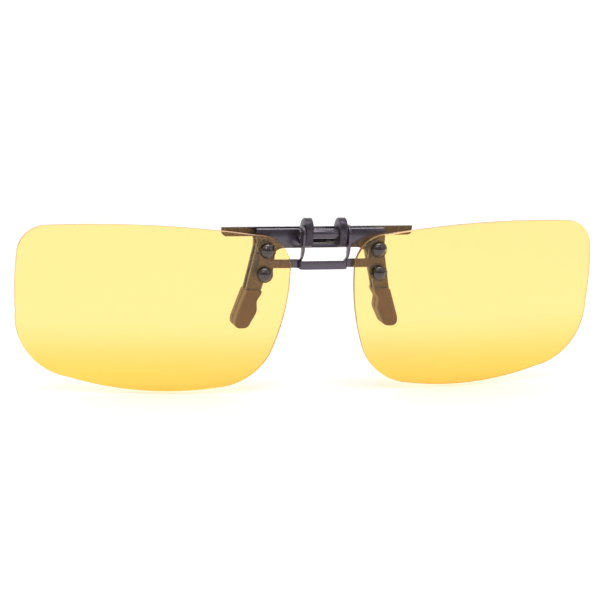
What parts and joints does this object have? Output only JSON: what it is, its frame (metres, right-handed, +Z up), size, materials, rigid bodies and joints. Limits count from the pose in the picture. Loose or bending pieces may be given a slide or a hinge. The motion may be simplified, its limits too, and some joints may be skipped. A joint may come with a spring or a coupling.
{
  "type": "clip on flip lenses",
  "caption": "Tinted flip-up lenses on a spring clamp that grips a pair of spectacles; the lenses swing up on a hinge above the nose.",
  "frame": {"origin": "middle of the clamp, between the two jaws at the lower edge of the front wall, where the top of the spectacles stops", "axes": "+X along the clamp to the right as seen from the front, -Y forward through the lenses, +Z up"},
  "size_m": [0.1392, 0.011, 0.0403],
  "materials": {
    "tinted_lens": "clear yellow polycarbonate, hard coated, slightly deeper towards the lower edge",
    "clear_plastic": "clear moulded plastic",
    "soft_gasket": "matt black",
    "polished_black": "gloss black plating",
    "satin_black": "satin black plating with a warm grey sheen",
    "cast_black": "fine grained black casting",
    "soft_sleeve": "satin black vinyl",
    "nylon": "matt black nylon",
    "spring_steel": "drawn spring wire and pin stock"
  },
  "bodies": {
    "front_jaw": {"front_jaw_plate": "satin_black", "clamp_pin": "spring_steel", "clamp_spring": "spring_steel", "front_left_sleeve": "soft_sleeve", "front_right_sleeve": "soft_sleeve", "left_hinge_lug": "cast_black", "right_hinge_lug": "cast_black", "hinge_barrel": "satin_black"},
    "rear_jaw": {"rear_jaw_plate": "satin_black", "rear_left_sleeve": "soft_sleeve", "rear_right_sleeve": "soft_sleeve"},
    "flip_frame": {"lens_bridge": "satin_black", "flip_axle": "polished_black", "axle_cap": "polished_black", "left_friction_washer": "nylon", "right_friction_washer": "nylon", "left_lens": "tinted_lens", "left_upper_lens_screw": "polished_black", "left_upper_clear_washer": "clear_plastic", "left_upper_gasket": "soft_gasket", "left_upper_clinch_nut": "polished_black", "left_lower_lens_screw": "polished_black", "left_lower_clear_washer": "clear_plastic", "left_lower_gasket": "soft_gasket", "left_lower_clinch_nut": "polished_black", "right_lens": "tinted_lens", "right_upper_lens_screw": "polished_black", "right_upper_clear_washer": "clear_plastic", "right_upper_gasket": "soft_gasket", "right_upper_clinch_nut": "polished_black", "right_lower_lens_screw": "polished_black", "right_lower_clear_washer": "clear_plastic", "right_lower_gasket": "soft_gasket", "right_lower_clinch_nut": "polished_black"}
  },
  "joints": [
    {"name": "clamp_hinge", "type": "hinge", "parent": "front_jaw", "child": "rear_jaw", "pos_m": [0, -0.00015, 0.0015], "axis": [1, 0, 0], "range_deg": [0, 20], "stiffness_Nm_per_rad": 0.05, "springref_deg": -28.65, "deforming": ["clamp_spring"]},
    {"name": "flip_hinge", "type": "hinge", "parent": "front_jaw", "child": "flip_frame", "pos_m": [0, -0.0041, 0.00385], "axis": [-1, 0, 0], "range_deg": [0, 95]}
  ]
}
